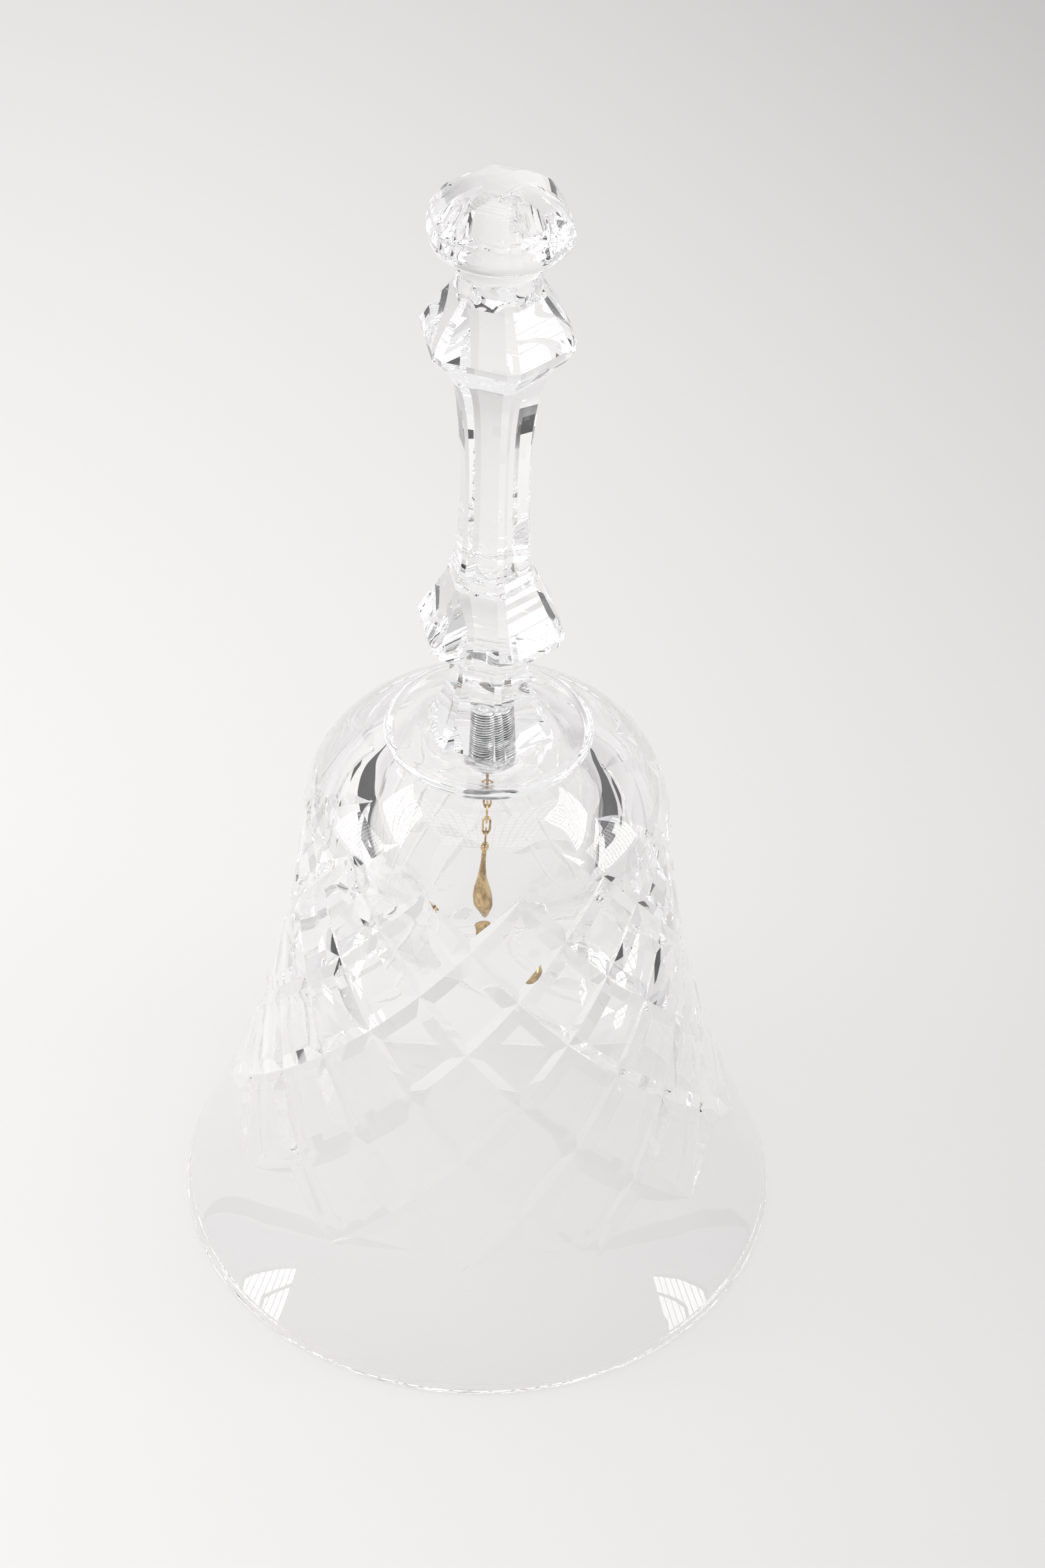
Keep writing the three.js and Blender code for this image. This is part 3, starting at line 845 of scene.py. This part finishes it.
class FittingSettings(bpy.types.PropertyGroup):
    """The metal fittings, chain and clapper"""

    thread_pitch: FloatProperty(
        name="Thread pitch",
        description="Rise of the tube's thread in one turn",
        default=0.52 * MM,
        unit="LENGTH",
    )
    thread_depth: FloatProperty(
        name="Thread depth", description="Depth of the tube's thread", default=0.3 * MM, unit="LENGTH"
    )
    steel_colour: FloatVectorProperty(
        name="Steel", description="Plated steel of the fittings", subtype="COLOR", default=(0.90, 0.90, 0.91)
    )
    brass_colour: FloatVectorProperty(
        name="Brass", description="Chain and clapper", subtype="COLOR", default=(0.72, 0.52, 0.24)
    )


class GlassSettings(bpy.types.PropertyGroup):
    """The glass of the bell and the handle"""

    tint: FloatVectorProperty(
        name="Tint", description="Colour of the glass", subtype="COLOR", default=(0.997, 0.996, 0.996)
    )
    bend: FloatProperty(name="Refraction", description="How strongly the glass bends light", default=1.54)
    ripple: FloatProperty(
        name="Ripple",
        description="Height of the slow ripples in its surface",
        default=0.03 * MM,
        unit="LENGTH",
    )


class StageSettings(bpy.types.PropertyGroup):
    """The floor, the lights and the room"""

    floor_colour: FloatVectorProperty(
        name="Floor", description="Colour of the floor", subtype="COLOR", default=(0.2, 0.2, 0.2)
    )
    floor_glow: FloatProperty(
        name="Floor glow", description="Glow of the floor's brightest part", default=0.705, min=0.0
    )
    side_light: FloatProperty(
        name="Side light", description="Strength of the two side softboxes", default=6.0, min=0.0
    )
    top_light: FloatProperty(name="Top light", description="Strength of the overhead softbox", default=1.7)
    room: FloatProperty(name="Room", description="Brightness of the pale room", default=0.86)
    grid_cells: IntProperty(
        name="Grid cells", description="Cells across the grid on each softbox", default=14, min=1
    )


# ---- Stage ----


def add_panel(name, centre, target, size, look, seen=False):
    """A flat panel that faces a target, in metres, with its place held in its mesh."""
    across, up = size[0] / 2, size[1] / 2
    corners = [(-across, -up, 0), (across, -up, 0), (across, up, 0), (-across, up, 0)]
    turn = (Vector(target) - Vector(centre)).to_track_quat("Z", "Y")
    mesh = bpy.data.meshes.new(name)
    mesh.from_pydata([Vector(centre) + turn @ Vector(corner) for corner in corners], [], [(0, 1, 2, 3)])
    layer = mesh.uv_layers.new(name="UVMap")
    layer.data.foreach_set("uv", (0, 0, 1, 0, 1, 1, 0, 1))
    mesh.materials.append(look.owner)
    panel = bpy.data.objects.new(name, mesh)
    bpy.context.scene.collection.objects.link(panel)
    panel.visible_camera = seen
    return panel


def add_lights(settings):
    """The glowing floor and three gridded softboxes: one on each side and one overhead."""
    floor = floor_look(settings.floor_colour, settings.floor_glow, FLOOR_LIGHT_FALLOFF)
    add_panel("floor", (0, 0, FLOOR_LEVEL), (0, 0, 1), FLOOR_SIZE, floor, seen=True)
    look = softbox_look("softbox", settings.side_light, settings.grid_cells)
    away, back, height = SIDE_BOX
    for name, side in (("softbox_left", -1), ("softbox_right", 1)):
        add_panel(name, (side * away, back, height), SIDE_BOX_AIM, SIDE_BOX_SIZE, look)
    look = softbox_look("overhead_softbox", settings.top_light, settings.grid_cells)
    add_panel("softbox_overhead", TOP_BOX, TOP_BOX_AIM, TOP_BOX_SIZE, look)


def add_cards():
    """A dark card on the floor at each side, which only glass and polished metal see."""
    look = card_look()
    away, back, height = CARD
    for name, side in (("card_left", -1), ("card_right", 1)):
        panel = add_panel(name, (side * away, back, height), (side * away, back, 1), CARD_SIZE, look)
        panel.visible_diffuse = False
        panel.visible_shadow = False


def add_camera(scene):
    """A long lens turned by its roll, then its tilt up from straight down, then its pan."""
    lens = bpy.data.cameras.new("camera")
    lens.lens = LENS
    lens.sensor_width = 36
    lens.clip_start = 0.01
    camera = bpy.data.objects.new("camera", lens)
    scene.collection.objects.link(camera)
    pan = Matrix.Rotation(CAMERA_PAN, 4, "Z")
    tilt = Matrix.Rotation(CAMERA_TILT, 4, "X")
    roll = Matrix.Rotation(CAMERA_ROLL, 4, "Z")
    camera.matrix_world = Matrix.Translation(CAMERA) @ pan @ tilt @ roll
    scene.camera = camera


# ---- Operators ----


class HANDBELL_OT_bell(bpy.types.Operator):
    """Builds the bell's wall with its cut lattice"""

    bl_idname = "handbell.bell"
    bl_label = "Bell"

    def execute(self, context):
        sizes, glass = context.scene.hand_bell, context.scene.hand_bell_glass
        grid, cuts, back = bell_wall(sizes.groove_depth / MM, sizes.lattice_turn)
        look = glass_look("bell_glass", glass, "cut")
        amounts = {"cut": np.clip(cuts / FULL_CUT, 0, 1)}
        wall = [surface(grid, back=back)]
        add_piece("cut_bell", wall, "bell", "bell_shell", look, sharp=9.0, amounts=amounts)
        return {"FINISHED"}


class HANDBELL_OT_handle(bpy.types.Operator):
    """Builds the faceted handle on its round foot"""

    bl_idname = "handbell.handle"
    bl_label = "Handle"

    def execute(self, context):
        look = glass_look("handle_glass", context.scene.hand_bell_glass)
        grid = handle_grid(context.scene.hand_bell_handle.turn)
        poles = ((0, 0, SOCKET[1]), (0, 0, HANDLE_TOP))
        glass = [surface(grid, closed=False, poles=poles)]
        add_piece("faceted_handle", glass, "bell", "handle", look, sharp=14.0)
        return {"FINISHED"}


class HANDBELL_OT_fittings(bpy.types.Operator):
    """Builds the threaded tube, its bedding ring, washer and nut"""

    bl_idname = "handbell.fittings"
    bl_label = "Fittings"

    def execute(self, context):
        sizes = context.scene.hand_bell_fittings
        light, dark = tuple(sizes.steel_colour), shaded(sizes.steel_colour, STEEL_SHADE)
        steel = metal_look("plated_steel", "steel", light, dark, rough=0.14, scratches=0.012 * MM)
        # The thread's steel is painted darker in its valleys, as shade
        stem = metal_look(
            "thread_steel", "steel", light, dark, rough=0.22, scratches=0.012 * MM, painted_shade_share="valley"
        )
        grid, valley = thread_grid(sizes.thread_pitch / MM, sizes.thread_depth / MM)
        thread, ring = [surface(grid)], [surface(bedding_grid())]
        washer, nut = [surface(washer_grid())], [surface(nut_grid())]
        amounts = {"valley": valley}
        add_piece("threaded_stem", thread, "bell", "threaded_tube", stem, sharp=50.0, amounts=amounts)
        add_piece("set_bedding", ring, "bell", "bedding_ring", filler_look(), sharp=60.0)
        add_piece("flat_washer", washer, "bell", "clamp_washer", steel)
        add_piece("hexagon_nut", nut, "bell", "clamp_nut", steel, sharp=20.0)
        return {"FINISHED"}


class HANDBELL_OT_chain(bpy.types.Operator):
    """Builds the fixed eye, the chain's links and the clapper"""

    bl_idname = "handbell.chain"
    bl_label = "Chain and Clapper"

    def execute(self, context):
        sizes = context.scene.hand_bell_fittings
        light, dark = tuple(sizes.steel_colour), shaded(sizes.steel_colour, PIN_SHADE)
        steel = metal_look("pin_steel", "steel", light, dark, rough=0.25, scratches=0.008 * MM)
        light, dark = tuple(sizes.brass_colour), shaded(sizes.brass_colour, BRASS_SHADE)
        brass = metal_look("chain_brass", "brass", light, dark, rough=0.14, scratches=0.006 * MM)
        polished = metal_look("clapper_brass", "brass", light, dark, rough=0.1, scratches=0.01 * MM)
        add_piece("fixed_eye", pin_surfaces(), "bell", "eye_pin", steel)
        for index in range(LINKS):
            number = index + 1
            link = [link_surface(index)]
            add_piece(f"brass_link_{number}", link, f"link_{number}", f"chain_link_{number}", brass)
        add_piece("brass_clapper", clapper_surfaces(), "clapper", "clapper", polished)
        return {"FINISHED"}


class HANDBELL_OT_stage(bpy.types.Operator):
    """Sets the floor, the softboxes, the dark cards, the pale room and the camera"""

    bl_idname = "handbell.stage"
    bl_label = "Stage"

    def execute(self, context):
        scene, settings = context.scene, context.scene.hand_bell_stage
        add_lights(settings)
        add_cards()
        scene.world = room_world(settings.room, settings.room * LOW_SIDES)
        scene.view_settings.view_transform = "Standard"
        scene.cycles.max_bounces = BOUNCES
        scene.cycles.glossy_bounces = BOUNCES
        scene.cycles.transmission_bounces = BOUNCES
        add_camera(scene)
        return {"FINISHED"}


# ---- Panel and registration ----


class HANDBELL_PT_sidebar(bpy.types.Panel):
    """Lists the pieces of the hand bell and their settings"""

    bl_label = "Hand Bell"
    bl_idname = "HANDBELL_PT_sidebar"
    bl_space_type = "VIEW_3D"
    bl_region_type = "UI"
    bl_category = "Hand Bell"

    def draw(self, context):
        scene = context.scene
        for group, operators in (
            (scene.hand_bell, (HANDBELL_OT_bell,)),
            (scene.hand_bell_glass, ()),
            (scene.hand_bell_handle, (HANDBELL_OT_handle,)),
            (scene.hand_bell_fittings, (HANDBELL_OT_fittings, HANDBELL_OT_chain)),
            (scene.hand_bell_stage, (HANDBELL_OT_stage,)),
        ):
            box = self.layout.box()
            for key in type(group).__annotations__:
                box.prop(group, key)
            for operator in operators:
                box.operator(operator.bl_idname)


SETTINGS = {
    "hand_bell": BellSettings,
    "hand_bell_glass": GlassSettings,
    "hand_bell_handle": HandleSettings,
    "hand_bell_fittings": FittingSettings,
    "hand_bell_stage": StageSettings,
}
OPERATORS = (
    HANDBELL_OT_stage,
    HANDBELL_OT_bell,
    HANDBELL_OT_handle,
    HANDBELL_OT_fittings,
    HANDBELL_OT_chain,
)


def register():
    """Registers the classes and hangs the settings on the scene."""
    for group in (*SETTINGS.values(), *OPERATORS, HANDBELL_PT_sidebar):
        bpy.utils.register_class(group)
    for key, group in SETTINGS.items():
        setattr(bpy.types.Scene, key, PointerProperty(type=group))


def unregister():
    """Takes the settings off the scene and the classes out again."""
    for key in SETTINGS:
        delattr(bpy.types.Scene, key)
    for group in reversed((*SETTINGS.values(), *OPERATORS, HANDBELL_PT_sidebar)):
        bpy.utils.unregister_class(group)


def main():
    """Builds the stage and every piece."""
    register()
    bpy.ops.handbell.stage()
    bpy.ops.handbell.bell()
    bpy.ops.handbell.handle()
    bpy.ops.handbell.fittings()
    bpy.ops.handbell.chain()


if __name__ == "__main__":
    main()
